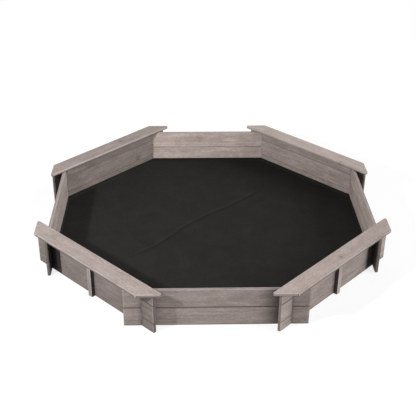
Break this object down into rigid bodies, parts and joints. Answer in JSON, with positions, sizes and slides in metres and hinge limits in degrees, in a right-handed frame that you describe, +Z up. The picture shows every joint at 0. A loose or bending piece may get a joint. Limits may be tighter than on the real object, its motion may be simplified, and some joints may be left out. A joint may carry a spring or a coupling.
{
  "type": "octagonal sandbox",
  "caption": "Low octagonal timber sandbox of interlocking grey-washed boards, with seat boards across the diagonal walls, outer battens and a dark fabric ground liner.",
  "frame": {"origin": "on the ground, at the centre of the octagon", "axes": "+Z up; -Y towards the front wall; +X towards the right wall. The front, back, left and right walls are square to X and Y, and the four walls with seats are diagonal"},
  "size_m": [1.981, 1.981, 0.2382],
  "materials": {
    "wall_wood": "grey-washed softwood, matt stain",
    "seat_wood": "grey-washed softwood, matt stain, eased edges",
    "batten_wood": "grey-washed softwood, matt stain",
    "liner_fabric": "dark charcoal non-woven ground fabric",
    "screw_steel": "dull zinc plating"
  },
  "bodies": {
    "root": {"back_left_batten": "batten_wood", "back_left_batten_screw_1": "screw_steel", "back_left_batten_screw_2": "screw_steel", "back_left_batten_screw_3": "screw_steel", "back_left_seat": "seat_wood", "back_left_seat_screw_1": "screw_steel", "back_left_seat_screw_2": "screw_steel", "back_left_seat_screw_3": "screw_steel", "back_left_wall_bottom_board": "wall_wood", "back_left_wall_middle_board": "wall_wood", "back_left_wall_top_board": "wall_wood", "back_right_batten": "batten_wood", "back_right_batten_screw_1": "screw_steel", "back_right_batten_screw_2": "screw_steel", "back_right_batten_screw_3": "screw_steel", "back_right_seat": "seat_wood", "back_right_seat_screw_1": "screw_steel", "back_right_seat_screw_2": "screw_steel", "back_right_seat_screw_3": "screw_steel", "back_right_wall_bottom_board": "wall_wood", "back_right_wall_middle_board": "wall_wood", "back_right_wall_top_board": "wall_wood", "back_wall_lower_board": "wall_wood", "back_wall_upper_board": "wall_wood", "front_left_batten": "batten_wood", "front_left_batten_screw_1": "screw_steel", "front_left_batten_screw_2": "screw_steel", "front_left_batten_screw_3": "screw_steel", "front_left_seat": "seat_wood", "front_left_seat_screw_1": "screw_steel", "front_left_seat_screw_2": "screw_steel", "front_left_seat_screw_3": "screw_steel", "front_left_wall_bottom_board": "wall_wood", "front_left_wall_middle_board": "wall_wood", "front_left_wall_top_board": "wall_wood", "front_right_batten": "batten_wood", "front_right_batten_screw_1": "screw_steel", "front_right_batten_screw_2": "screw_steel", "front_right_batten_screw_3": "screw_steel", "front_right_seat": "seat_wood", "front_right_seat_screw_1": "screw_steel", "front_right_seat_screw_2": "screw_steel", "front_right_seat_screw_3": "screw_steel", "front_right_wall_bottom_board": "wall_wood", "front_right_wall_middle_board": "wall_wood", "front_right_wall_top_board": "wall_wood", "front_wall_lower_board": "wall_wood", "front_wall_upper_board": "wall_wood", "ground_liner": "liner_fabric", "left_wall_lower_board": "wall_wood", "left_wall_upper_board": "wall_wood", "right_wall_lower_board": "wall_wood", "right_wall_upper_board": "wall_wood"}
  },
  "joints": []
}
